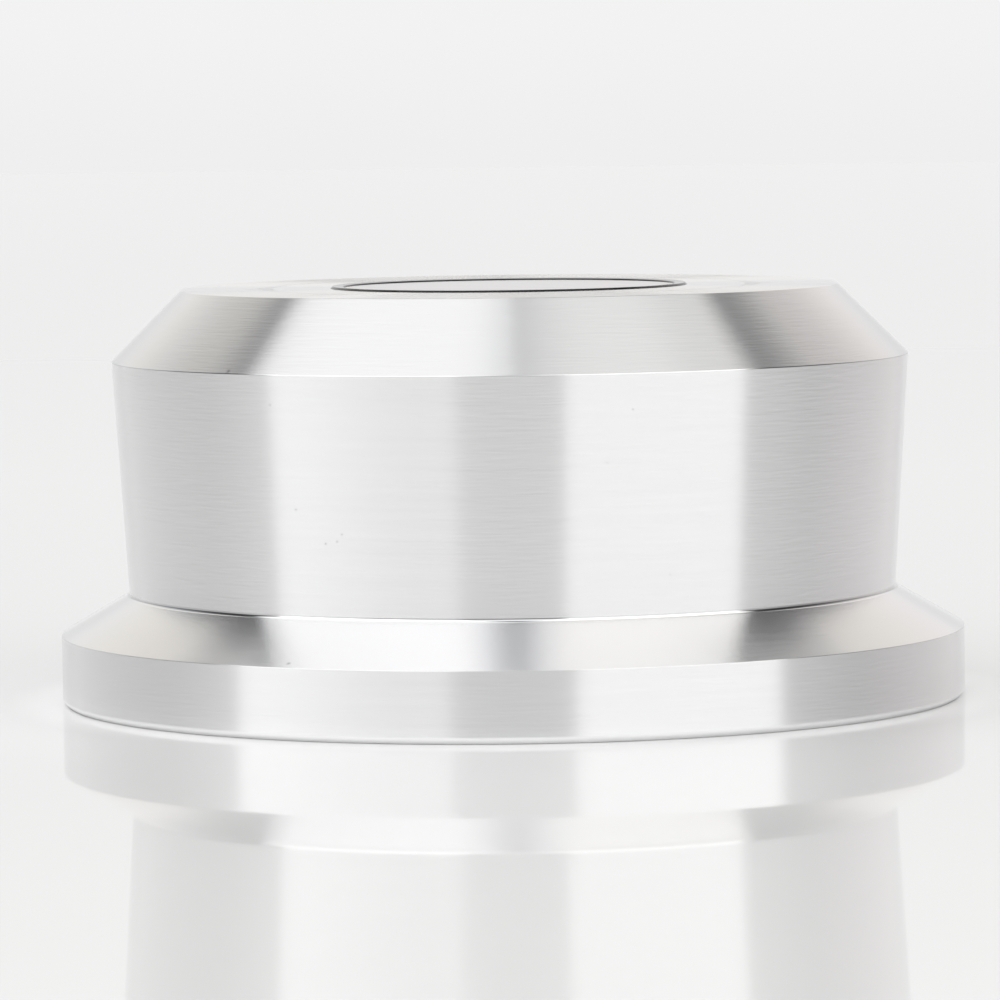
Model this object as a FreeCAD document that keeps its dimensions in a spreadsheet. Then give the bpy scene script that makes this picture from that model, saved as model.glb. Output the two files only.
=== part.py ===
import FreeCAD, Part
import math
import os
from collections import namedtuple
from enum import IntEnum
import Sketcher

# Record weight clamp: a turned aluminium weight that is set over a turntable's spindle.
# Millimetres and degrees. The origin is the middle of the plane that the pad rests on, and +Z is up.

# Each size, and below them the heights and radii that follow from them as formulas.
SIZES = {
    # Outside of the weight
    "pad_stand_off": 0.1,
    "body_height": 36.35,
    "flange_radius": 40.0,
    "flange_edge": 6.1,
    "cone_angle": 30.0,
    "drum_radius": 35.2,
    "drum_taper": 3.5,
    "bevel_height": 6.2,
    "bevel_angle": 45.0,
    # Broken edges, and the nose radius that the tool leaves in the corner under the drum
    "base_chamfer": 0.4,
    "edge_break": 0.12,
    "corner_radius": 0.25,
    # Blind bore for the spindle: drill_angle is half of the drill's point
    "bore_radius": 3.7,
    "bore_depth": 22.0,
    "bore_lead": 0.8,
    "drill_angle": 59.0,
    # Rubber ring let into the top, flat where it seats and domed above: ring_radius is its middle circle
    "ring_radius": 15.2,
    "ring_width": 1.1,
    "ring_height": 1.5,
    "ring_dome": 6.0,
    "ring_proud": 0.18,
    "ring_clearance": 0.02,
    # Inlay disc inside the ring
    "disc_thickness": 3.0,
    "disc_clearance": 0.05,
    "disc_break": 0.15,
    # Ring pad let into the underside
    "pad_radius": 36.0,
    "pad_hole_radius": 9.0,
    "pad_thickness": 1.2,
    "pad_clearance": 0.15,
    "pad_break": 0.15,
    # Outside of the weight, worked out
    "edge_top": "=pad_stand_off + flange_edge",
    "body_top": "=pad_stand_off + body_height",
    "drum_top": "=body_top - bevel_height",
    "top_radius": "=drum_radius - bevel_height / tan(bevel_angle)",
    "cone_slope": "=tan(cone_angle)",
    "wall_slope": "=tan(drum_taper)",
    "cone_apex": "=edge_top + flange_radius * cone_slope",
    "foot_radius": "=(drum_radius - wall_slope * (drum_top - cone_apex)) / (1 + wall_slope * cone_slope)",
    "foot_height": "=cone_apex - foot_radius * cone_slope",
    # Seats, worked out from what goes in them
    "ring_outside": "=ring_radius + ring_width / 2",
    "ring_inside": "=ring_radius - ring_width / 2",
    "ring_top": "=body_top + ring_proud",
    "ring_shoulder": "=ring_top - ring_dome + sqrt(ring_dome ^ 2 - (ring_width / 2) ^ 2)",
    "ring_seat_floor": "=ring_top - ring_height",
    "ring_seat_radius": "=ring_outside + ring_clearance",
    "disc_radius": "=ring_inside - ring_clearance",
    "disc_seat_radius": "=disc_radius + disc_clearance",
    "disc_floor": "=body_top - disc_thickness",
    "recess_radius": "=pad_radius + pad_clearance",
    "bore_mouth_radius": "=bore_radius + bore_lead",
    "bore_mouth": "=pad_thickness + bore_lead",
    "bore_end": "=pad_thickness + bore_depth",
    "bore_tip": "=bore_end + bore_radius / tan(drill_angle)",
}

# A corner of a turned outline: aliases of its radius and height, or None where it lies on the axis or
# on the plane that the pad rests on, of the leg that breaks the edge there or the radius that rounds
# it, and of the radius of the dome that leads on from it in place of a straight line.
Corner = namedtuple("Corner", ["radius", "height", "leg", "rounding", "dome"], defaults=[None] * 3)

# How a sketch numbers the ends of a line, its own axes and its origin.
START, END = IntEnum("LineEnd", ["START", "END"])
UPRIGHT_AXIS, LEVEL_AXIS = IntEnum("SketchAxis", ["UPRIGHT", "LEVEL"], start=-2)
ORIGIN_POINT = (LEVEL_AXIS, START)

doc = FreeCAD.newDocument("record_weight_clamp")

sheet = doc.addObject("Spreadsheet::Sheet", "Sizes")
for row, (alias, content) in enumerate(SIZES.items(), start=1):
    sheet.set(f"A{row}", alias)
    sheet.set(f"B{row}", str(content))
    sheet.setAlias(f"B{row}", alias)
doc.recompute()


def size(alias):
    return float(getattr(sheet, alias)) if alias else 0.0


def new_sketch(body, name, plane_role):
    """A sketch on one of the body's own origin planes."""
    plane = next(item for item in body.Origin.OriginFeatures if item.Role == plane_role)
    sketch = body.newObject("Sketcher::SketchObject", name)
    sketch.AttachmentSupport = [(plane, "")]
    sketch.MapMode = "FlatFace"
    return sketch


def hold(sketch, kind, *where):
    sketch.addConstraint(Sketcher.Constraint(kind, *where))


def bind(sketch, name, alias, kind, *where):
    """A named dimension of a sketch that follows a cell of the sheet."""
    index = sketch.addConstraint(Sketcher.Constraint(kind, *where, size(alias)))
    sketch.renameConstraint(index, name)
    sketch.setExpression(f"Constraints.{name}", f"{sheet.Name}.{alias}")


def place_corner(sketch, corner, before, line_before, spot, name):
    """Hold a corner at its radius and height: by the line that leads to it where that is level or
    upright, or else by dimensions from the origin."""
    if corner.radius is None:
        hold(sketch, "PointOnObject", *spot, UPRIGHT_AXIS)
    elif corner.radius == before.radius:
        hold(sketch, "Vertical", line_before)
    else:
        bind(sketch, f"{name}_radius", corner.radius, "DistanceX", *ORIGIN_POINT, *spot)
    if corner.height is None:
        hold(sketch, "PointOnObject", *spot, LEVEL_AXIS)
    elif corner.height == before.height and not before.dome:
        hold(sketch, "Horizontal", line_before)
    else:
        bind(sketch, f"{name}_height", corner.height, "DistanceY", *ORIGIN_POINT, *spot)


def break_corner(sketch, corner, line_before, line, spot, ends, name):
    """A short line across a corner, with equal legs."""
    link = sketch.addGeometry(Part.LineSegment(*ends), False)
    hold(sketch, "Coincident", line_before, END, link, START)
    hold(sketch, "Coincident", link, END, line, START)
    bind(sketch, f"{name}_leg", corner.leg, "Distance", link, START, *spot)
    bind(sketch, f"{name}_other_leg", corner.leg, "Distance", link, END, *spot)


def round_corner(sketch, corner, line_before, line, ends, middle, left_turn, name):
    """An arc across a corner, tangent to both lines. An arc runs anticlockwise from its start."""
    first, last = (START, END) if left_turn else (END, START)
    start, end = ends if left_turn else ends[::-1]
    arc = sketch.addGeometry(Part.Arc(start, middle, end), False)
    hold(sketch, "Tangent", line_before, END, arc, first)
    hold(sketch, "Tangent", arc, last, line, START)
    bind(sketch, f"{name}_rounding", corner.rounding, "Radius", arc)


def leading_edge(start, end, dome):
    """The line from one corner to the next, or the arc that bulges away from the outline's inside."""
    if not dome:
        return Part.LineSegment(start, end)
    outward = (end - start).cross(FreeCAD.Vector(0, 0, 1)).normalize()
    half_chord = (end - start).Length / 2
    rise = dome - math.sqrt(dome ** 2 - half_chord ** 2)
    return Part.Arc(start, (start + end) / 2 + outward * rise, end)


def turned_section(body, name, corners):
    """Closed outline in the XZ plane, anticlockwise: radius to the right and height upwards."""
    sketch = new_sketch(body, name, "XZ_Plane")
    count = len(corners)
    spots = [FreeCAD.Vector(size(corner.radius), size(corner.height), 0) for corner in corners]
    arrivals, departures, middles = [], [], []
    for index, corner in enumerate(corners):
        spot = spots[index]
        back = (spots[index - 1] - spot).normalize()
        onward = (spots[(index + 1) % count] - spot).normalize()
        half_angle = back.getAngle(onward) / 2
        rounding = size(corner.rounding)
        reach = rounding / math.tan(half_angle) if corner.rounding else size(corner.leg)
        arrivals.append(spot + back * reach)
        departures.append(spot + onward * reach)
        middles.append(spot + (back + onward).normalize() * rounding * (1 / math.sin(half_angle) - 1))
    ends = arrivals[1:] + arrivals[:1]
    domes = [size(corner.dome) for corner in corners]
    sketch.addGeometry([leading_edge(*edge) for edge in zip(departures, ends, domes)], False)
    for line, corner in enumerate(corners):
        line_before = (line - 1) % count
        label = f"corner_{line}"
        spot = (line, START)
        if corner.leg or corner.rounding:
            spot = (sketch.addGeometry(Part.Point(spots[line]), True), START)
            hold(sketch, "PointOnObject", *spot, line_before)
            hold(sketch, "PointOnObject", *spot, line)
        link_ends = (arrivals[line], departures[line])
        if corner.leg:
            break_corner(sketch, corner, line_before, line, spot, link_ends, label)
        elif corner.rounding:
            inward = spots[line] - spots[line_before]
            left_turn = inward.cross(departures[line] - spots[line]).z > 0
            round_corner(sketch, corner, line_before, line, link_ends, middles[line], left_turn, label)
        else:
            hold(sketch, "Coincident", line_before, END, line, START)
        place_corner(sketch, corner, corners[line_before], line_before, spot, label)
        if corner.dome:
            bind(sketch, f"{label}_dome", corner.dome, "Radius", line)
    return sketch


def turn(body, kind, name, corners):
    """A Revolution or a Groove of an outline, all the way round the Z axis."""
    sketch = turned_section(body, f"{name}_section", corners)
    feature = body.newObject(f"PartDesign::{kind}", name)
    feature.Profile = sketch
    feature.ReferenceAxis = (sketch, ["V_Axis"])
    feature.Angle = 360
    doc.recompute()
    if not sketch.FullyConstrained:
        raise RuntimeError(f"{sketch.Name} has free corners")
    return feature


def make_weight_body():
    body = doc.addObject("PartDesign::Body", "weight_body")
    blank = turn(body, "Revolution", "blank", [
        Corner(None, "pad_stand_off"),
        Corner("flange_radius", "pad_stand_off", leg="base_chamfer"),
        Corner("flange_radius", "edge_top", leg="edge_break"),
        Corner("foot_radius", "foot_height", rounding="corner_radius"),
        Corner("drum_radius", "drum_top", leg="edge_break"),
        Corner("top_radius", "body_top", leg="edge_break"),
        Corner(None, "body_top"),
    ])
    top_seat = turn(body, "Groove", "top_seat", [
        Corner(None, "disc_floor"),
        Corner("disc_seat_radius", "disc_floor"),
        Corner("disc_seat_radius", "ring_seat_floor"),
        Corner("ring_seat_radius", "ring_seat_floor"),
        Corner("ring_seat_radius", "body_top"),
        Corner(None, "body_top"),
    ])
    underside = turn(body, "Groove", "underside", [
        Corner(None, None),
        Corner("recess_radius", None),
        Corner("recess_radius", "pad_thickness"),
        Corner("bore_mouth_radius", "pad_thickness"),
        Corner("bore_radius", "bore_mouth"),
        Corner("bore_radius", "bore_end"),
        Corner(None, "bore_tip"),
    ])
    if not blank.Shape.Volume > top_seat.Shape.Volume > underside.Shape.Volume:
        raise RuntimeError("a cut in the weight took nothing away")
    return body


def make_rubber_ring():
    body = doc.addObject("PartDesign::Body", "rubber_ring")
    turn(body, "Revolution", "ring", [
        Corner("ring_inside", "ring_seat_floor"),
        Corner("ring_outside", "ring_seat_floor"),
        Corner("ring_outside", "ring_shoulder", dome="ring_dome"),
        Corner("ring_inside", "ring_shoulder"),
    ])
    return body


def make_centre_disc():
    body = doc.addObject("PartDesign::Body", "centre_disc")
    turn(body, "Revolution", "plate", [
        Corner(None, "disc_floor"),
        Corner("disc_radius", "disc_floor"),
        Corner("disc_radius", "body_top", leg="disc_break"),
        Corner(None, "body_top"),
    ])
    return body


def make_base_pad():
    body = doc.addObject("PartDesign::Body", "base_pad")
    turn(body, "Revolution", "pad_ring", [
        Corner("pad_hole_radius", None, leg="pad_break"),
        Corner("pad_radius", None, leg="pad_break"),
        Corner("pad_radius", "pad_thickness"),
        Corner("pad_hole_radius", "pad_thickness"),
    ])
    return body


pieces = [make_weight_body(), make_rubber_ring(), make_centre_disc(), make_base_pad()]
doc.recompute()

for item in doc.Objects:
    if {"Invalid", "Error"} & set(item.State):
        raise RuntimeError(f"{item.Name} failed: {item.State}")
for piece in pieces:
    if piece.Shape.isNull() or not piece.Shape.isValid() or len(piece.Shape.Solids) != 1:
        raise RuntimeError(f"{piece.Label} isn't one valid solid")

os.makedirs("parts", exist_ok=True)
for piece in pieces:
    piece.Shape.exportStep(f"parts/{piece.Label}.step")
    box = piece.Shape.optimalBoundingBox()
    print(f"{piece.Label}: {piece.Shape.Volume:.1f} mm3, from {box.ZMin:.3f} to {box.ZMax:.3f} mm high")
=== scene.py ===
import math

import bmesh
import bpy
from mathutils import Matrix, Vector


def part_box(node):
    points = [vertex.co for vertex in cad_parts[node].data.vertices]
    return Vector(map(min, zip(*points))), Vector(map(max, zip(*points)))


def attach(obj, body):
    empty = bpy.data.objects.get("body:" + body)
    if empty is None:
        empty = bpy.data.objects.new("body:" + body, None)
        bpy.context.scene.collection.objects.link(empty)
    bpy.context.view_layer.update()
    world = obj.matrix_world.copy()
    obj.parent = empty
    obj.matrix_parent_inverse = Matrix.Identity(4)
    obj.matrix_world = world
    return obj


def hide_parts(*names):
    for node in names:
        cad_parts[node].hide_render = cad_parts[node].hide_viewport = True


# Record weight: a turned aluminium weight with a rubber ring and a blasted disc let into its top.
# The scene is in metres. The weight stands on the plane z = 0, and -Y faces the camera.

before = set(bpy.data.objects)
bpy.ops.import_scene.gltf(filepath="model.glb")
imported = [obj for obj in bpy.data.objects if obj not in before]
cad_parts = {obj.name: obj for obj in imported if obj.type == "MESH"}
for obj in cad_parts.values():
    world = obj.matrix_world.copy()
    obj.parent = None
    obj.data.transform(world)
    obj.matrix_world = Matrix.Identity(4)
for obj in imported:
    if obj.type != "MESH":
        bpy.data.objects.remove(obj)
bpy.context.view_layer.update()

MM = 0.001
ROUND_STEPS = 720

# Turned outline of the weight, in millimetres and degrees. What isn't here comes from the frame's boxes.
EDGE_HEIGHT = 6.1
CONE_ANGLE = 30.0
DRUM_RADIUS = 35.2
DRUM_TAPER = 3.5
BEVEL_HEIGHT = 6.2
BEVEL_ANGLE = 45.0
BASE_CHAMFER = 0.4
BASE_BLEND = 0.5
RING_FIT = 0.02
DISC_FIT = 0.05
PAD_FIT = 0.15
BORE_RADIUS = 3.7
BORE_DEPTH = 22.0
BORE_LEAD = 0.8
DRILL_ANGLE = 59.0

# Slopes of the turned faces that lean inward as they rise, in degrees from level.
CONE_SLOPE = 180.0 - CONE_ANGLE
BEVEL_SLOPE = 180.0 - BEVEL_ANGLE

# Radii of the rounded edges, in millimetres, and how they are divided.
CRISP_EDGE = 0.06
BROKEN_EDGE = 0.13
TOOL_NOSE = 0.45
EDGE_STEPS = 5
SUPPORT_GAP = 0.03

# Rubber ring and base pad, in millimetres.
RING_SHOULDER_EDGE = 0.02
RING_LEAN = 0.14
RING_INNER_DROP = 0.05
RING_INNER_LEAN = 0.09
PAD_HOLE_RADIUS = 9.0
PAD_BREAK = 0.15

# Scale of plain marks on the top face, in millimetres.
MARK_COUNT = 120
MARK_LONG_EVERY = 10
MARK_INNER_RADIUS = 20.9
MARK_LENGTH = 1.3
MARK_LONG_LENGTH = 2.6
MARK_WIDTH = 0.22
MARK_HEIGHT = 0.004

# Turning lines: how soon the fine and the broad ones fade on the way round, in waves of noise per metre,
# how much wider the broad ones are and what share of the whole the fine ones have.
FINE_LINE_FADE = 350.0
BROAD_LINE_FADE = 40.0
BROAD_LINE_WIDTH = 2.6
FINE_LINE_SHARE = 0.6

# Other patterns in the finishes, in waves of noise per metre, and the dimples' depth in millimetres.
DIMPLES = 9000.0
DIMPLE_DEPTH = 0.004
CLOUDS = 180.0
DUST = 600.0
MARK_WEAR = 5000.0

# Nicks in the turned faces: bearing from the front in degrees, height and size in millimetres.
NICK_DARKNESS = 0.35
BEVEL_NICKS = [(-42.7, 30.45, 0.32)]
CONE_NICKS = [(-28.3, 6.52, 0.26), (34.4, 9.69, 0.14), (34.5, 9.24, 0.12)]
DRUM_NICKS = [
    (-35.1, 27.72, 0.14), (-31.6, 18.95, 0.16), (-27.0, 16.14, 0.16), (-25.2, 16.34, 0.14),
    (-24.4, 16.96, 0.14), (13.3, 22.85, 0.12), (16.9, 27.24, 0.13), (22.7, 13.26, 0.12),
]


# Node trees

class Signal:
    """A number in a node tree. Python's operators on it add Math nodes."""

    def __init__(self, book, socket):
        self.book = book
        self.socket = socket

    def __add__(self, other):
        return self.book.maths("ADD", self, other)

    def __radd__(self, other):
        return self.book.maths("ADD", other, self)

    def __sub__(self, other):
        return self.book.maths("SUBTRACT", self, other)

    def __rsub__(self, other):
        return self.book.maths("SUBTRACT", other, self)

    def __mul__(self, other):
        return self.book.maths("MULTIPLY", self, other)

    def __rmul__(self, other):
        return self.book.maths("MULTIPLY", other, self)

    def __truediv__(self, other):
        return self.book.maths("DIVIDE", self, other)


class NodeBook:
    """Adds nodes to one tree."""

    def __init__(self, tree):
        self.tree = tree
        self.tree.nodes.clear()

    def feed(self, socket, value):
        value = value.socket if isinstance(value, Signal) else value
        if isinstance(value, bpy.types.NodeSocket):
            self.tree.links.new(value, socket)
        else:
            socket.default_value = value

    def node(self, kind, settings=None, inputs=None):
        """A node of this type, with its settings made first and then its sockets, by name or number."""
        made = self.tree.nodes.new(kind)
        for name, value in (settings or {}).items():
            setattr(made, name, value)
        for key, value in (inputs or {}).items():
            self.feed(made.inputs[key], value)
        return made

    def number(self, socket):
        return Signal(self, socket)

    def maths(self, operation, *values):
        made = self.node("ShaderNodeMath", {"operation": operation}, dict(enumerate(values)))
        return self.number(made.outputs[0])

    def split(self, vector):
        parts = self.node("ShaderNodeSeparateXYZ", inputs={0: vector}).outputs
        return [self.number(part) for part in parts]

    def joined(self, *values):
        return self.node("ShaderNodeCombineXYZ", inputs=dict(enumerate(values))).outputs[0]

    def ramp(self, value, low, high, start=0.0, end=1.0):
        """Smoothly from start, at low and before it, to end, at high and past it."""
        made = self.node("ShaderNodeMapRange", {"interpolation_type": "SMOOTHSTEP"}, {
            "Value": value, "From Min": low, "From Max": high, "To Min": start, "To Max": end})
        return self.number(made.outputs[0])

    def fade(self, value, low, high):
        """Smoothly from 1, at low and before it, to 0, at high and past it."""
        return self.ramp(value, low, high, 1.0, 0.0)

    def window(self, value, low, high, edge):
        """1 between low and high, 0 outside them, with edges this soft."""
        return self.ramp(value, low - edge, low + edge) * self.fade(value, high - edge, high + edge)

    def between(self, share, first, second):
        """A number this share of the way from the first to the second."""
        return first + (second - first) * share

    def noise(self, vector, detail, roughness):
        """Noise round 0.5, of one wave per unit of the vector."""
        made = self.node("ShaderNodeTexNoise", {"noise_dimensions": "3D"}, {
            "Vector": vector, "Scale": 1.0, "Detail": detail, "Roughness": roughness})
        return self.number(made.outputs[0])

    def bump(self, height, depth):
        """A normal that follows this height, from 0 to 1, over a depth in millimetres."""
        made = self.node("ShaderNodeBump", inputs={
            "Strength": 1.0, "Distance": depth * MM, "Height": height})
        return made.outputs[0]

    def blend(self, share, first, second):
        """A colour this share of the way from the first to the second. The node has its two colours in
        sockets 6 and 7 and the colour between them in its third output."""
        made = self.node("ShaderNodeMix", {"data_type": "RGBA"}, {0: share, 6: first, 7: second})
        return made.outputs[2]

    def scaled(self, colour, factor):
        colour = colour[:3] if isinstance(colour, tuple) else colour
        made = self.node("ShaderNodeVectorMath", {"operation": "SCALE"}, {0: colour, "Scale": factor})
        return made.outputs[0]


def grey(level):
    return level, level, level, 1.0


def new_material(name):
    material = bpy.data.materials.new(name)
    material.use_nodes = True
    return material, NodeBook(material.node_tree)


def finish_surface(book, inputs):
    shader = book.node("ShaderNodeBsdfPrincipled", inputs=inputs)
    book.node("ShaderNodeOutputMaterial", inputs={"Surface": shader.outputs[0]})


# Finishes

def place_on_object(book):
    return book.node("ShaderNodeTexCoord").outputs["Object"]


def radius_from_axis(book, x, y):
    return book.maths("SQRT", x * x + y * y)


def nicked(book, place, tone, nicks):
    """The tone, darker in the middle of each nick."""
    for spot, size in nicks:
        away = book.node("ShaderNodeVectorMath", {"operation": "DISTANCE"}, {0: place, 1: spot})
        tone = tone * book.ramp(book.number(away.outputs["Value"]), 0.0, size, 1.0 - NICK_DARKNESS, 1.0)
    return tone


def turning_lines(book, x, y, along, fade, pitch):
    """Lines of noise a pitch apart across the way of turning, in millimetres, and long on the way round."""
    place = book.joined(x * fade, y * fade, along * (1.0 / (pitch * MM)))
    return book.noise(place, detail=1.0, roughness=0.6)


def turned_metal(name, colour, slope, line_depth, line_pitch=0.24, line_shade=0.03, roughness=0.24,
                 anisotropy=1.0, nicks=()):
    """The slope is that of the turned face, in degrees: 0 for a flat top and 90 for an upright wall. The
    depth and the pitch of the lines are in millimetres, and the line shade is how much the colour follows
    them as painted shade: darker in their hollows and lighter on their crests."""
    material, book = new_material(name)
    place = place_on_object(book)
    x, y, z = book.split(place)
    tilt = math.radians(slope)
    along = radius_from_axis(book, x, y) * math.cos(tilt) + z * math.sin(tilt)
    fine = turning_lines(book, x, y, along, FINE_LINE_FADE, line_pitch)
    broad = turning_lines(book, x, y, along, BROAD_LINE_FADE, line_pitch * BROAD_LINE_WIDTH)
    lines = fine * FINE_LINE_SHARE + broad * (1.0 - FINE_LINE_SHARE)
    # Painted shade: the colour is darker in the lines' hollows and lighter on their crests.
    tone = nicked(book, place, 1.0 + (lines - 0.5) * line_shade, nicks)
    finish_surface(book, {
        "Base Color": book.scaled(colour, tone),
        "Metallic": 1.0,
        "Roughness": roughness + (broad - 0.5) * 0.04,
        "Anisotropic": anisotropy,
        "Anisotropic Rotation": 0.25,
        "Normal": book.bump(lines, line_depth),
    })
    return material


def blasted_metal(name, colour, roughness):
    """Bead-blasted aluminium: fine even dimples and no lines."""
    material, book = new_material(name)
    place = place_on_object(book)
    dimples = book.noise(book.scaled(place, DIMPLES), detail=2.0, roughness=0.6)
    cloud = book.noise(book.scaled(place, CLOUDS), detail=2.0, roughness=0.5)
    finish_surface(book, {
        "Base Color": book.scaled(colour, 1.0 + (cloud - 0.5) * 0.04),
        "Metallic": 1.0,
        "Roughness": roughness + (cloud - 0.5) * 0.06,
        "Normal": book.bump(dimples, DIMPLE_DEPTH),
    })
    return material


def rubber(name, colour, roughness, ior, grain_size, depth):
    """Moulded rubber with a little dust on it. The size and the depth of its grain are in millimetres."""
    material, book = new_material(name)
    place = place_on_object(book)
    grain = book.noise(book.scaled(place, 1.0 / (grain_size * MM)), detail=3.0, roughness=0.6)
    dust = book.noise(book.scaled(place, DUST), detail=4.0, roughness=0.7)
    finish_surface(book, {
        "Base Color": book.scaled(colour, 1.0 + book.ramp(dust, 0.5, 0.75) * 0.8),
        "Roughness": roughness * (0.85 + grain * 0.3),
        "IOR": ior,
        "Normal": book.bump(grain, depth),
    })
    return material


def etched_mark(name, colour):
    """Marks burnt matt into the face."""
    material, book = new_material(name)
    wear = book.noise(book.scaled(place_on_object(book), MARK_WEAR), detail=2.0, roughness=0.6)
    finish_surface(book, {
        "Base Color": book.scaled(colour, 0.85 + wear * 0.3),
        "Metallic": 1.0,
        "Roughness": 0.36 + (wear - 0.5) * 0.2,
    })
    return material


# Turned shapes

class Edge:
    """A corner of a turned outline, in millimetres: where it is, the radius that rounds it, the number
    of the finish on the face that leads on from it, and that of the rounding where it has its own."""

    def __init__(self, radius, height, rounding=0.0, finish=0, nose=None):
        self.spot = Vector((radius, height))
        self.rounding = rounding
        self.finish = finish
        self.nose = nose


def toward(start, end, distance):
    return start + (end - start).normalized() * distance


def rounded_corner(before, corner, after, rounding):
    """Points across a corner: an arc that touches both lines, and a support point on each side of it."""
    back = (before - corner).normalized()
    onward = (after - corner).normalized()
    half_angle = back.angle(onward) / 2
    reach = rounding / math.tan(half_angle)
    centre = corner + (back + onward).normalized() * (rounding / math.sin(half_angle))
    first = corner + back * reach - centre
    last = corner + onward * reach - centre
    sweep = first.angle(last)
    points = [toward(corner, before, reach + SUPPORT_GAP)]
    for step in range(EDGE_STEPS + 1):
        share = step / EDGE_STEPS
        weights = math.sin((1 - share) * sweep), math.sin(share * sweep)
        points.append(centre + (first * weights[0] + last * weights[1]) / math.sin(sweep))
    points.append(toward(corner, after, reach + SUPPORT_GAP))
    return points


def turned_outline(edges):
    """Points of a closed outline and the finish of the face after each point."""
    points, finishes = [], []
    count = len(edges)
    for index, edge in enumerate(edges):
        before = edges[index - 1]
        after = edges[(index + 1) % count]
        if edge.rounding:
            spots = rounded_corner(before.spot, edge.spot, after.spot, edge.rounding)
        else:
            spots = [edge.spot.copy()]
        points.extend(spots)
        if edge.nose is None:
            middle = len(spots) // 2
            finishes.extend([before.finish] * middle + [edge.finish] * (len(spots) - middle))
        else:
            finishes.extend([before.finish] + [edge.nose] * (len(spots) - 3) + [edge.finish] * 2)
    return points, finishes


def turned_piece(name, edges, finishes):
    """Turns an outline about the Z axis. Where it meets the axis, its points become one."""
    points, face_finishes = turned_outline(edges)
    mesh = bpy.data.meshes.new(name)
    vertices, rows = [], []
    for point in points:
        radius, height = point * MM
        if radius < 1e-9:
            rows.append([len(vertices)] * ROUND_STEPS)
            vertices.append((0.0, 0.0, height))
            continue
        rows.append(range(len(vertices), len(vertices) + ROUND_STEPS))
        for step in range(ROUND_STEPS):
            angle = 2 * math.pi * step / ROUND_STEPS
            vertices.append((radius * math.cos(angle), radius * math.sin(angle), height))
    faces, materials = [], []
    for index, row in enumerate(rows):
        upper = rows[(index + 1) % len(rows)]
        if row[0] == row[1] and upper[0] == upper[1]:
            continue
        for step in range(ROUND_STEPS):
            turn = (step + 1) % ROUND_STEPS
            corners = [row[step], row[turn], upper[turn], upper[step]]
            faces.append(list(dict.fromkeys(corners)))
            materials.append(face_finishes[index])
    mesh.from_pydata(vertices, [], faces)
    for finish in finishes:
        mesh.materials.append(finish)
    mesh.polygons.foreach_set("material_index", materials)
    mesh.polygons.foreach_set("use_smooth", [True] * len(faces))
    mesh.update()
    piece = bpy.data.objects.new(name, mesh)
    bpy.context.scene.collection.objects.link(piece)
    return piece


def box_sizes(node):
    """Outer radius, bottom and top of a turned node, in millimetres."""
    low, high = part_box(node)
    return high.x / MM, low.z / MM, high.z / MM


body_radius, body_bottom, body_top = box_sizes("weight_body")
ring_outside, ring_bottom, ring_top = box_sizes("rubber_ring")
disc_radius, disc_bottom, disc_top = box_sizes("centre_disc")
pad_radius, pad_bottom, pad_top = box_sizes("base_pad")
ring_inside = disc_radius + RING_FIT

# Numbers of the finishes on the weight's faces, in the order of their materials.
FLANGE, CONE, NOSE, WALL, BEVEL, FACE, UNDERSIDE = range(7)


def nicks_on_face(nicks, foot, slope):
    """Nicks as points on a turned face that has this foot and this slope, with their sizes."""
    spots = []
    for bearing, height, size in nicks:
        radius = foot.x + (height - foot.y) / math.tan(math.radians(slope))
        turn = math.radians(bearing)
        spot = Vector((radius * math.sin(turn), -radius * math.cos(turn), height)) * MM
        spots.append((spot, size * MM))
    return spots


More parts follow.
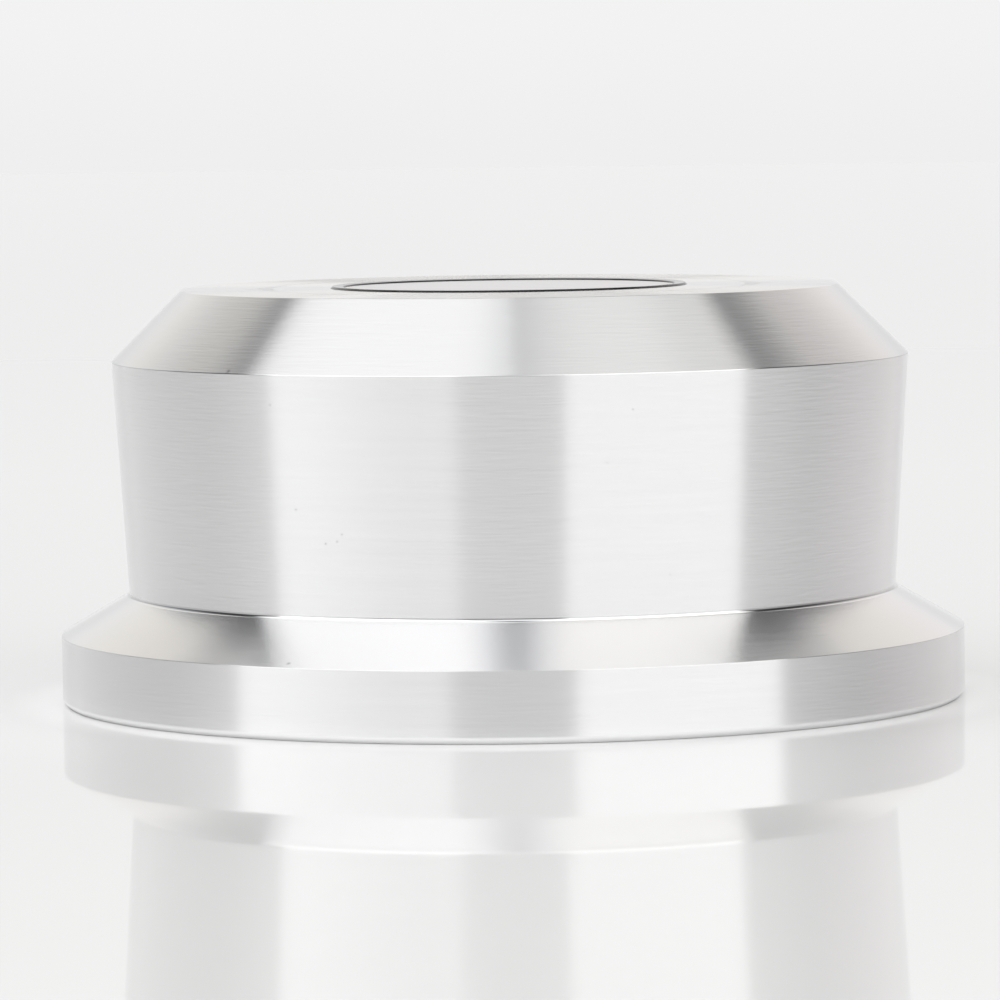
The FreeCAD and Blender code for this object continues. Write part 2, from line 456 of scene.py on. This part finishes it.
def make_weight_body():
    """The turned weight, from the drilled end of its bore round to the seat of the disc."""
    edge_top = body_bottom + EDGE_HEIGHT
    drum_top = body_top - BEVEL_HEIGHT
    top_radius = DRUM_RADIUS - BEVEL_HEIGHT / math.tan(math.radians(BEVEL_ANGLE))
    cone_slope = math.tan(math.radians(CONE_ANGLE))
    wall_slope = math.tan(math.radians(DRUM_TAPER))
    cone_apex = edge_top + body_radius * cone_slope
    foot_radius = (DRUM_RADIUS - wall_slope * (drum_top - cone_apex)) / (1 + wall_slope * cone_slope)
    foot_height = cone_apex - foot_radius * cone_slope
    ring_seat = ring_outside + RING_FIT
    disc_seat = disc_radius + DISC_FIT
    recess = pad_radius + PAD_FIT
    bore_mouth = pad_top + BORE_LEAD
    bore_end = pad_top + BORE_DEPTH
    bore_tip = bore_end + BORE_RADIUS / math.tan(math.radians(DRILL_ANGLE))
    edges = [
        Edge(0, bore_tip, 0, UNDERSIDE),
        Edge(BORE_RADIUS, bore_end, CRISP_EDGE, UNDERSIDE),
        Edge(BORE_RADIUS, bore_mouth, CRISP_EDGE, UNDERSIDE),
        Edge(BORE_RADIUS + BORE_LEAD, pad_top, CRISP_EDGE, UNDERSIDE),
        Edge(recess, pad_top, CRISP_EDGE, UNDERSIDE),
        Edge(recess, body_bottom, CRISP_EDGE, UNDERSIDE),
        Edge(body_radius - BASE_CHAMFER, body_bottom, CRISP_EDGE, FLANGE),
        Edge(body_radius, body_bottom + BASE_CHAMFER, BASE_BLEND, FLANGE),
        Edge(body_radius, edge_top, CRISP_EDGE, CONE),
        Edge(foot_radius, foot_height, TOOL_NOSE, WALL, NOSE),
        Edge(DRUM_RADIUS, drum_top, BROKEN_EDGE, BEVEL, NOSE),
        Edge(top_radius, body_top, BROKEN_EDGE, FACE, NOSE),
        Edge(ring_seat, body_top, RING_SHOULDER_EDGE, FACE),
        Edge(ring_seat, ring_bottom, CRISP_EDGE, FACE),
        Edge(disc_seat, ring_bottom, CRISP_EDGE, FACE),
        Edge(disc_seat, disc_bottom, CRISP_EDGE, FACE),
        Edge(0, disc_bottom, 0, UNDERSIDE),
    ]
    cone_foot = Vector((body_radius, edge_top))
    drum_head = Vector((DRUM_RADIUS, drum_top))
    cone_nicks = nicks_on_face(CONE_NICKS, cone_foot, CONE_SLOPE)
    drum_nicks = nicks_on_face(DRUM_NICKS, drum_head, 90.0 - DRUM_TAPER)
    bevel_nicks = nicks_on_face(BEVEL_NICKS, drum_head, BEVEL_SLOPE)
    bright = (0.91, 0.91, 0.915, 1.0)
    plain = (0.86, 0.86, 0.87, 1.0)
    finishes = [
        turned_metal("turned_flange", bright, slope=90.0, line_depth=0.0092),
        turned_metal("polished_cone", bright, slope=CONE_SLOPE, line_depth=0.012, line_shade=0.02,
                     roughness=0.2, nicks=cone_nicks),
        turned_metal("burnished_nose", bright, slope=90.0, line_depth=0.001, roughness=0.1, anisotropy=0.0),
        turned_metal("turned_wall", bright, slope=90.0, line_depth=0.0155, nicks=drum_nicks),
        turned_metal("turned_bevel", bright, slope=BEVEL_SLOPE, line_depth=0.017, line_pitch=0.18,
                     line_shade=0.05, nicks=bevel_nicks),
        turned_metal("faced_top", bright, slope=0.0, line_depth=0.0014),
        turned_metal("bored_underside", plain, slope=45.0, line_depth=0.006, line_pitch=0.4,
                     roughness=0.42, anisotropy=0.9),
    ]
    return turned_piece("weight", edges, finishes)


def make_rubber_ring():
    """A low band whose flat sides lean in at the top."""
    inner_top = ring_top - RING_INNER_DROP
    edges = [
        Edge(ring_inside, ring_bottom, RING_SHOULDER_EDGE),
        Edge(ring_outside, ring_bottom, RING_SHOULDER_EDGE),
        Edge(ring_outside, ring_top - RING_LEAN, RING_SHOULDER_EDGE),
        Edge(ring_outside - RING_LEAN, ring_top, RING_SHOULDER_EDGE),
        Edge(ring_inside + RING_INNER_LEAN, inner_top, RING_SHOULDER_EDGE),
        Edge(ring_inside, inner_top - RING_INNER_LEAN, RING_SHOULDER_EDGE),
    ]
    black = (0.007, 0.008, 0.010, 1.0)
    skin = rubber("ring_rubber", black, roughness=0.08, ior=1.4, grain_size=0.12, depth=0.0005)
    return turned_piece("rubber_ring_skin", edges, [skin])


def make_centre_disc():
    """The bare blasted plate inside the ring."""
    edges = [
        Edge(0, disc_bottom),
        Edge(disc_radius, disc_bottom, CRISP_EDGE),
        Edge(disc_radius, disc_top, CRISP_EDGE),
        Edge(0, disc_top),
    ]
    face = blasted_metal("blasted_face", (0.93, 0.93, 0.955, 1.0), roughness=0.36)
    return turned_piece("blasted_disc", edges, [face])


def make_base_pad():
    """The pad under the weight, with a round hole about the bore."""
    edges = [
        Edge(PAD_HOLE_RADIUS, pad_bottom, PAD_BREAK),
        Edge(pad_radius, pad_bottom, PAD_BREAK),
        Edge(pad_radius, pad_top, CRISP_EDGE),
        Edge(PAD_HOLE_RADIUS, pad_top, CRISP_EDGE),
    ]
    skin = rubber("pad_rubber", grey(0.03), roughness=0.7, ior=1.5, grain_size=0.3, depth=0.02)
    return turned_piece("pad_skin", edges, [skin])


# Scale of marks

def mark_tree(material):
    """A ring of thin plates, one for each mark, with every so many of them longer."""
    tree = bpy.data.node_groups.new("mark_ring", "GeometryNodeTree")
    book = NodeBook(tree)
    inputs = {
        "Count": ("NodeSocketInt", MARK_COUNT),
        "Long Every": ("NodeSocketInt", MARK_LONG_EVERY),
        "Inner Radius": ("NodeSocketFloat", MARK_INNER_RADIUS * MM),
        "Length": ("NodeSocketFloat", MARK_LENGTH * MM),
        "Long Length": ("NodeSocketFloat", MARK_LONG_LENGTH * MM),
        "Width": ("NodeSocketFloat", MARK_WIDTH * MM),
        "Height": ("NodeSocketFloat", MARK_HEIGHT * MM),
        "Floor": ("NodeSocketFloat", body_top * MM),
    }
    for name, (kind, _) in inputs.items():
        tree.interface.new_socket(name, in_out="INPUT", socket_type=kind)
    tree.interface.new_socket("Geometry", in_out="OUTPUT", socket_type="NodeSocketGeometry")
    sockets = book.node("NodeGroupInput").outputs
    given = {name: book.number(sockets[name]) for name in inputs}
    index = book.number(book.node("GeometryNodeInputIndex").outputs[0])
    spots = book.node("GeometryNodePoints", inputs={
        "Count": given["Count"], "Position": book.joined(0.0, 0.0, given["Floor"])})
    bar = book.node("GeometryNodeMeshCube", inputs={"Size": (1.0, 1.0, 1.0)})
    moved = book.node("GeometryNodeTransform", inputs={
        "Geometry": bar.outputs["Mesh"], "Translation": (0.5, 0.0, 0.5)})
    on_every = book.maths("COMPARE", book.maths("MODULO", index, given["Long Every"]), 0.0, 0.1)
    length = given["Length"] + on_every * (given["Long Length"] - given["Length"])
    turn = (index + 0.5) * (2 * math.pi) / given["Count"]
    reach = book.joined(given["Inner Radius"] * book.maths("COSINE", turn),
                        given["Inner Radius"] * book.maths("SINE", turn), 0.0)
    bars = book.node("GeometryNodeInstanceOnPoints", inputs={
        "Points": spots.outputs[0],
        "Instance": moved.outputs[0],
        "Rotation": book.joined(0.0, 0.0, turn),
        "Scale": book.joined(length, given["Width"], given["Height"]),
    })
    placed = book.node("GeometryNodeTranslateInstances", inputs={
        "Instances": bars.outputs[0], "Translation": reach, "Local Space": False})
    solid = book.node("GeometryNodeRealizeInstances", inputs={"Geometry": placed.outputs[0]})
    painted = book.node("GeometryNodeSetMaterial", inputs={
        "Geometry": solid.outputs[0], "Material": material})
    book.node("NodeGroupOutput", inputs={"Geometry": painted.outputs[0]})
    return tree, inputs


def make_marks():
    """The marks as one plain mesh, made by the tree on an object that is then removed."""
    material = etched_mark("etched_grey", grey(0.78))
    tree, inputs = mark_tree(material)
    maker = bpy.data.objects.new("mark_maker", bpy.data.meshes.new("mark_maker"))
    bpy.context.scene.collection.objects.link(maker)
    modifier = maker.modifiers.new("marks", "NODES")
    modifier.node_group = tree
    for item in tree.interface.items_tree:
        if item.in_out == "INPUT":
            modifier[item.identifier] = inputs[item.name][1]
    graph = bpy.context.evaluated_depsgraph_get()
    mesh = bpy.data.meshes.new_from_object(maker.evaluated_get(graph), depsgraph=graph)
    bpy.data.objects.remove(maker)
    marks = bpy.data.objects.new("scale_marks", mesh)
    bpy.context.scene.collection.objects.link(marks)
    return marks


# Studio: a glossy pale floor, two tall soft lights in front that meet overhead, and a pale backdrop

# Levels of the studio's parts, where 1 is white. A light has one level low down, one at its brightest
# and one overhead, and so has the gap between the two lights. The last two are what the camera sees.
LEFT_LIGHT = (0.06, 1.80, 1.02)
LEFT_LIGHT_OUTER = (0.70, 1.62, 1.05)
RIGHT_LIGHT = (0.68, 1.66, 0.72)
RIGHT_LIGHT_OUTER = (0.68, 1.66, 0.83)
RIGHT_DIM = 0.15
GAP = (0.16, 1.0, 0.03)
LEFT_WALL = 0.39
RIGHT_WALL = 0.27
RIGHT_GLOW = 0.06
WALL_GLOW = 0.16
WALL_MIDDLE = 0.04
WALL_TOP = 0.29
BACKDROP = 1.05
BACKDROP_LOW = 0.84
BACKDROP_SIDE = 0.84
BACKDROP_DIP = 0.125
BACKDROP_TOP = 0.94
BACKDROP_FAR = 0.72
CEILING = 0.12
SEEN_LOW = 0.862
SEEN_HIGH = 0.89

# Tints of the studio: the left and right sides, the dark parts above them and the right light.
CREAM = (1.035, 1.0, 0.94, 1.0)
ROSE = (1.065, 1.0, 1.0, 1.0)
STEEL = (0.955, 1.0, 1.06, 1.0)
WARM = (1.02, 1.0, 0.955, 1.0)

# Where the studio's parts begin and end. A pair is the stretch over which one gives way to the next.
# Bearings and climbs, which Outlook explains, are in degrees, and X, Y and Z are the parts of a direction
# of length 1.
LIGHT_START = -2.0
LIGHT_FULL = 23.0
LIGHT_FULL_END = 36.0
LEFT_LIGHT_END = 66.0
RIGHT_LIGHT_END = 70.0
LIGHT_SOFTNESS = 1.2
LIGHT_BACK_Y = (0.36, 0.48)
LEFT_OUTER_BEARING = (12.0, 34.0)
RIGHT_OUTER_BEARING = (2.0, 14.0)
RIGHT_DIM_BEARING = (20.0, 31.0)
RIGHT_DIM_CLIMB = (60.0, 80.0)
MIDDLE_SEAM = (-0.6, 1.6)

LEFT_EDGE = 36.3
LEFT_EDGE_MIDDLE = 40.6
LEFT_EDGE_TOP = 38.8
LEFT_EDGE_MIDDLE_CLIMB = (30.0, 55.0)
LEFT_EDGE_TOP_CLIMB = (74.0, 86.0)
RIGHT_EDGE = 35.2
RIGHT_EDGE_MIDDLE = 37.2
RIGHT_EDGE_MIDDLE_CLIMB = (40.0, 78.0)
RIGHT_EDGE_SOFTNESS = 6.0

GAP_START = 3.0
GAP_END = 60.0
GAP_EDGE = 7.7
GAP_EDGE_TOP = 2.2
GAP_SOFTNESS = 1.0
GAP_SOFTNESS_TOP = 2.8
GAP_NARROWING = (20.0, 62.0)
GAP_CLOSING = (62.0, 75.0)

CEILING_START_LEFT = 120.0
CEILING_START_RIGHT = 108.0
CEILING_SOFTNESS = 8.0
CEILING_END = (142.0, 158.0)
CEILING_BEARING = (34.0, 40.0)

WALL_SEAM = (-1.0, 1.0)
WALL_GLOW_BEARING = (36.0, 50.0)
RIGHT_GLOW_BEARING = (54.0, 70.0)
RIGHT_GLOW_SOFTNESS = 8.0
WALL_MIDDLE_CLIMB = (14.0, 32.0)
WALL_TOP_CLIMB = (66.0, 84.0)

BACKDROP_LOW_Z = (0.13, 0.20)
BACKDROP_SIDE_X = (0.10, 0.16)
BACKDROP_DIP_X = (0.14, 0.50)
BACKDROP_DIP_SOFTNESS = 0.04
BACKDROP_DIP_Z = (0.08, 0.24)
BACKDROP_TOP_Z = (0.33, 0.72)
BACKDROP_FAR_CLIMB = (84.0, 100.0)
BACKDROP_BEARING_LOW = (46.0, 93.0)
BACKDROP_BEARING_MIDDLE = (44.0, 72.0)
BACKDROP_BEARING_TOP = (38.5, 51.0)
BACKDROP_MIDDLE_CLIMB = (38.0, 58.0)
BACKDROP_TOP_CLIMB = (70.0, 86.0)
BACKDROP_ALL_ROUND_CLIMB = (92.0, 112.0)
BACKDROP_BEHIND_Y = (0.90, 0.97)
SEEN_HORIZON_Z = (-0.016, 0.012)

CREAM_Z = (0.30, 0.72)
CREAM_SOFTNESS = 0.15
ROSE_BEARING = (48.0, 78.0)
ROSE_BEARING_SOFTNESS = 6.0
ROSE_LOW_CLIMB = (20.0, 40.0)
ROSE_HIGH_CLIMB = (76.0, 92.0)
ROSE_HIGH_SOFTNESS = 3.0
CONE_CLIMB = (44.0, 72.0)
CONE_CLIMB_SOFTNESS = 8.0
STEEL_BEARING = (8.0, 12.0)
STEEL_Y = (0.65, 0.80)
WARM_BEARING = (4.0, 8.0)

# Soft lamp: its strength, and its size and lean in degrees.
LAMP_STRENGTH = 0.74
LAMP_SIZE = 70.0
LAMP_LEAN = (-10.0, -15.0, 0.0)

# Floor: its radius in metres and its steps round, its gloss, its level away from the weight, and the
# level of the painted light close to the weight's foot, which lifts the weight's shade there, and how far
# that reaches, in millimetres.
FLOOR_RADIUS = 3.0
FLOOR_STEPS = 128
FLOOR_ROUGHNESS = 0.03
FLOOR_IOR = 1.2
FLOOR_LEVEL = 0.82
FLOOR_PAINTED_LIGHT_LEVEL = 0.97
FLOOR_PAINTED_LIGHT_WIDTH = 6.0

# The soft pad gives this much under the weight, in millimetres, so the floor lies above its free
# underside.
PAD_GIVE = 0.08


class Outlook:
    """A direction out into the studio, by its parts and by its bearing and climb in degrees.

    A wall turned about the Z axis shows the camera, at one bearing from its middle, all that has this
    bearing here, whatever the wall's slope. Climb runs from 0 in front, level with the floor, through 90
    overhead."""

    def __init__(self, book):
        self.x, self.y, self.z = book.split(book.node("ShaderNodeTexCoord").outputs["Generated"])
        ahead = 1.0 - self.y
        span = book.maths("SQRT", self.x * self.x + ahead * ahead)
        level = (self.x * self.x - self.y * ahead) / span
        self.bearing = book.maths("ARCTAN2", self.x, ahead) * math.degrees(1.0)
        self.climb = book.maths("ARCTAN2", self.z, level) * math.degrees(1.0)
        self.side = book.maths("ABSOLUTE", self.bearing)
        self.off_middle = book.maths("ABSOLUTE", self.x)


def light_by_height(book, climb, levels, start, end):
    """A light's level as it grows from low down to its brightest and falls to its level overhead."""
    low, peak, top = levels
    growing = book.ramp(climb, start, LIGHT_FULL, low, peak)
    return growing + book.ramp(climb, LIGHT_FULL_END, end, 0.0, top - peak)


def gap_share(book, out):
    """1 in the gap between the two lights, which narrows and softens as it rises and ends overhead."""
    edge = book.ramp(out.climb, *GAP_NARROWING, GAP_EDGE, GAP_EDGE_TOP)
    softness = book.ramp(out.climb, *GAP_NARROWING, GAP_SOFTNESS, GAP_SOFTNESS_TOP)
    return book.fade((out.side - edge) / softness, -1.0, 1.0) * book.fade(out.climb, *GAP_CLOSING)


def light_level(book, out, in_gap):
    """The two lights, each with an inner and an outer part, and the gap between them."""
    left = book.between(book.ramp(out.side, *LEFT_OUTER_BEARING),
                        light_by_height(book, out.climb, LEFT_LIGHT, LIGHT_START, LEFT_LIGHT_END),
                        light_by_height(book, out.climb, LEFT_LIGHT_OUTER, LIGHT_START, LEFT_LIGHT_END))
    right = book.between(book.ramp(out.side, *RIGHT_OUTER_BEARING),
                         light_by_height(book, out.climb, RIGHT_LIGHT, LIGHT_START, RIGHT_LIGHT_END),
                         light_by_height(book, out.climb, RIGHT_LIGHT_OUTER, LIGHT_START, RIGHT_LIGHT_END))
    dimmed = book.ramp(out.side, *RIGHT_DIM_BEARING) * book.ramp(out.climb, *RIGHT_DIM_CLIMB, 0.0, RIGHT_DIM)
    lights = book.between(book.ramp(out.bearing, *MIDDLE_SEAM), left, right - dimmed)
    return book.between(in_gap, lights, light_by_height(book, out.climb, GAP, GAP_START, GAP_END))


def ceiling_share(book, out):
    """1 on the dark ceiling behind the top of the lights."""
    start = book.ramp(out.bearing, *MIDDLE_SEAM, CEILING_START_LEFT, CEILING_START_RIGHT)
    ceiling = book.ramp(out.climb - start, -CEILING_SOFTNESS, CEILING_SOFTNESS)
    return ceiling * book.fade(out.climb, *CEILING_END) * book.fade(out.side, *CEILING_BEARING)


def lit_share(book, out, ceiling):
    """1 on the lights and the gap between them."""
    left_edge = book.ramp(out.climb, *LEFT_EDGE_MIDDLE_CLIMB, LEFT_EDGE, LEFT_EDGE_MIDDLE)
    left_edge = left_edge + book.ramp(out.climb, *LEFT_EDGE_TOP_CLIMB, 0.0, LEFT_EDGE_TOP - LEFT_EDGE_MIDDLE)
    half_way_up = book.window(out.climb, *RIGHT_EDGE_MIDDLE_CLIMB, RIGHT_EDGE_SOFTNESS)
    right_edge = book.between(half_way_up, RIGHT_EDGE, RIGHT_EDGE_MIDDLE)
    lit = book.ramp(out.bearing + left_edge, -LIGHT_SOFTNESS, LIGHT_SOFTNESS)
    lit = lit * book.fade(out.bearing - right_edge, -LIGHT_SOFTNESS, LIGHT_SOFTNESS)
    return lit * book.fade(out.y, *LIGHT_BACK_Y) * (1.0 - ceiling)


def wall_level(book, out):
    """The dim walls beside the lights, darkest half way up."""
    low = book.ramp(out.bearing, *WALL_SEAM, LEFT_WALL, RIGHT_WALL)
    low = low + book.ramp(out.side, *WALL_GLOW_BEARING, WALL_GLOW, 0.0)
    low = low + book.window(out.bearing, *RIGHT_GLOW_BEARING, RIGHT_GLOW_SOFTNESS) * RIGHT_GLOW
    high = book.ramp(out.climb, *WALL_TOP_CLIMB, WALL_MIDDLE, WALL_TOP)
    return book.between(book.ramp(out.climb, *WALL_MIDDLE_CLIMB), low, high)


def backdrop_level(book, out, ceiling):
    """The pale backdrop, from the one behind the weight to the one overhead."""
    middle = book.ramp(out.z, *BACKDROP_LOW_Z, BACKDROP_LOW, BACKDROP)
    behind = book.between(book.ramp(out.off_middle, *BACKDROP_SIDE_X), middle, BACKDROP_SIDE)
    dip = book.window(out.off_middle, *BACKDROP_DIP_X, BACKDROP_DIP_SOFTNESS)
    dip = dip * book.ramp(out.z, *BACKDROP_DIP_Z, BACKDROP_DIP, 0.0)
    overhead = book.ramp(out.climb, *BACKDROP_FAR_CLIMB, BACKDROP_TOP, BACKDROP_FAR)
    backdrop = book.between(book.ramp(out.z, *BACKDROP_TOP_Z), behind - dip, overhead)
    return book.between(ceiling, backdrop, CEILING)


def backdrop_share(book, out):
    """0 on the walls and 1 on the backdrop, which reaches further round the higher it is."""
    low = book.ramp(out.side, *BACKDROP_BEARING_LOW)
    middle = book.ramp(out.side, *BACKDROP_BEARING_MIDDLE)
    top = book.ramp(out.side, *BACKDROP_BEARING_TOP)
    share = book.between(book.ramp(out.climb, *BACKDROP_MIDDLE_CLIMB), low, middle)
    share = book.between(book.ramp(out.climb, *BACKDROP_TOP_CLIMB), share, top)
    share = book.maths("MAXIMUM", share, book.ramp(out.climb, *BACKDROP_ALL_ROUND_CLIMB))
    return book.maths("MAXIMUM", share, book.ramp(out.y, *BACKDROP_BEHIND_Y))


def studio_tint(book, out, share, lit, in_gap):
    """Cream on the backdrop, rose at the right, steel in the dark parts and warm in the right light."""
    unlit = 1.0 - lit
    at_cone = book.window(out.climb, *CONE_CLIMB, CONE_CLIMB_SOFTNESS)
    cream = book.window(out.z, *CREAM_Z, CREAM_SOFTNESS) * share * unlit
    low_or_high = book.maths("MAXIMUM", book.fade(out.climb, *ROSE_LOW_CLIMB),
                             book.window(out.climb, *ROSE_HIGH_CLIMB, ROSE_HIGH_SOFTNESS))
    rose = book.window(out.bearing, *ROSE_BEARING, ROSE_BEARING_SOFTNESS) * unlit * low_or_high
    dark = book.maths("MAXIMUM", unlit, in_gap)
    steel = at_cone * book.fade(out.bearing, *STEEL_BEARING) * dark * book.fade(out.y, *STEEL_Y)
    warm = at_cone * lit * book.ramp(out.bearing, *WARM_BEARING)
    tint = book.blend(cream, grey(1.0), CREAM)
    tint = book.blend(rose, tint, ROSE)
    tint = book.blend(steel, tint, STEEL)
    return book.blend(warm, tint, WARM)


def make_world():
    """What surrounds the weight. The camera itself sees a plain pale backdrop."""
    world = bpy.data.worlds.new("studio")
    bpy.context.scene.world = world
    world.use_nodes = True
    book = NodeBook(world.node_tree)
    out = Outlook(book)
    in_gap = gap_share(book, out)
    ceiling = ceiling_share(book, out)
    lit = lit_share(book, out, ceiling)
    share = backdrop_share(book, out)
    unlit_level = book.between(share, wall_level(book, out), backdrop_level(book, out, ceiling))
    level = book.between(lit, unlit_level, light_level(book, out, in_gap))
    colour = book.scaled(studio_tint(book, out, share, lit, in_gap), level)
    camera_ray = book.node("ShaderNodeLightPath").outputs["Is Camera Ray"]
    seen = book.ramp(out.z, *SEEN_HORIZON_Z, SEEN_LOW, SEEN_HIGH)
    colour = book.blend(camera_ray, colour, book.joined(seen, seen, seen))
    light = book.node("ShaderNodeBackground", inputs={"Color": colour, "Strength": 1.0})
    book.node("ShaderNodeOutputWorld", inputs={"Surface": light.outputs[0]})


def make_soft_lamp():
    """Soft light from above and to the left, for the floor and the object's shadow on it."""
    lamp = bpy.data.objects.new("soft_lamp", bpy.data.lights.new("soft_lamp", "SUN"))
    lamp.data.energy = LAMP_STRENGTH
    lamp.data.angle = math.radians(LAMP_SIZE)
    lamp.rotation_euler = [math.radians(turn) for turn in LAMP_LEAN]
    lamp.visible_glossy = False
    bpy.context.scene.collection.objects.link(lamp)


def make_floor():
    """A glossy disc with painted light close to the weight: paler there to lift the weight's own shade."""
    material, book = new_material("glossy_floor")
    x, y, _ = book.split(place_on_object(book))
    # Painted light: the floor's colour is paler close to the weight's foot, where the weight's shade falls.
    level = book.ramp(radius_from_axis(book, x, y), body_radius * MM, (body_radius + FLOOR_PAINTED_LIGHT_WIDTH) * MM,
                      FLOOR_PAINTED_LIGHT_LEVEL, FLOOR_LEVEL)
    finish_surface(book, {
        "Base Color": book.joined(level, level, level),
        "Roughness": FLOOR_ROUGHNESS,
        "IOR": FLOOR_IOR,
    })
    mesh = bpy.data.meshes.new("floor")
    shape = bmesh.new()
    bmesh.ops.create_circle(shape, cap_ends=True, segments=FLOOR_STEPS, radius=FLOOR_RADIUS)
    shape.to_mesh(mesh)
    shape.free()
    mesh.materials.append(material)
    floor = bpy.data.objects.new("floor", mesh)
    floor.location.z = PAD_GIVE * MM
    bpy.context.scene.collection.objects.link(floor)


# Camera, set to the photograph's framing: millimetres, radians for the turns, and metres for the range
# in which it sees

CAMERA_DISTANCE = 530.54
CAMERA_HEIGHT = 55.22
CAMERA_YAW = -0.00192
CAMERA_PITCH = 0.07107
CAMERA_ROLL = -0.01271
CAMERA_LENS = 215.744
CAMERA_SENSOR = 36.0
CAMERA_RANGE = (0.05, 20.0)


def make_camera():
    """A camera in front of the weight that looks down a little and leans a little."""
    forward = Vector((math.sin(CAMERA_YAW) * math.cos(CAMERA_PITCH),
                      math.cos(CAMERA_YAW) * math.cos(CAMERA_PITCH),
                      -math.sin(CAMERA_PITCH)))
    level_right = forward.cross(Vector((0.0, 0.0, 1.0))).normalized()
    level_up = level_right.cross(forward)
    right = level_right * math.cos(CAMERA_ROLL) + level_up * math.sin(CAMERA_ROLL)
    up = level_up * math.cos(CAMERA_ROLL) - level_right * math.sin(CAMERA_ROLL)
    camera = bpy.data.objects.new("camera", bpy.data.cameras.new("camera"))
    turn = Matrix((right, up, -forward)).transposed().to_4x4()
    camera.matrix_world = Matrix.Translation((0.0, -CAMERA_DISTANCE * MM, CAMERA_HEIGHT * MM)) @ turn
    camera.data.lens = CAMERA_LENS
    camera.data.sensor_width = CAMERA_SENSOR
    camera.data.clip_start, camera.data.clip_end = CAMERA_RANGE
    bpy.context.scene.collection.objects.link(camera)
    bpy.context.scene.camera = camera


# Each piece, the nodes of the frame that it replaces and its material slot.
PIECES = [
    (make_weight_body, ["weight_body"], "turned_aluminium"),
    (make_rubber_ring, ["rubber_ring"], "black_rubber"),
    (make_centre_disc, ["centre_disc"], "satin_aluminium"),
    (make_base_pad, ["base_pad"], "pad_rubber"),
    (make_marks, [], "turned_aluminium"),
]
for make, nodes, slot in PIECES:
    piece = make()
    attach(piece, "root")
    if nodes:
        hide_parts(*nodes)

make_world()
make_soft_lamp()
make_floor()
make_camera()
bpy.context.scene.view_settings.view_transform = "Standard"
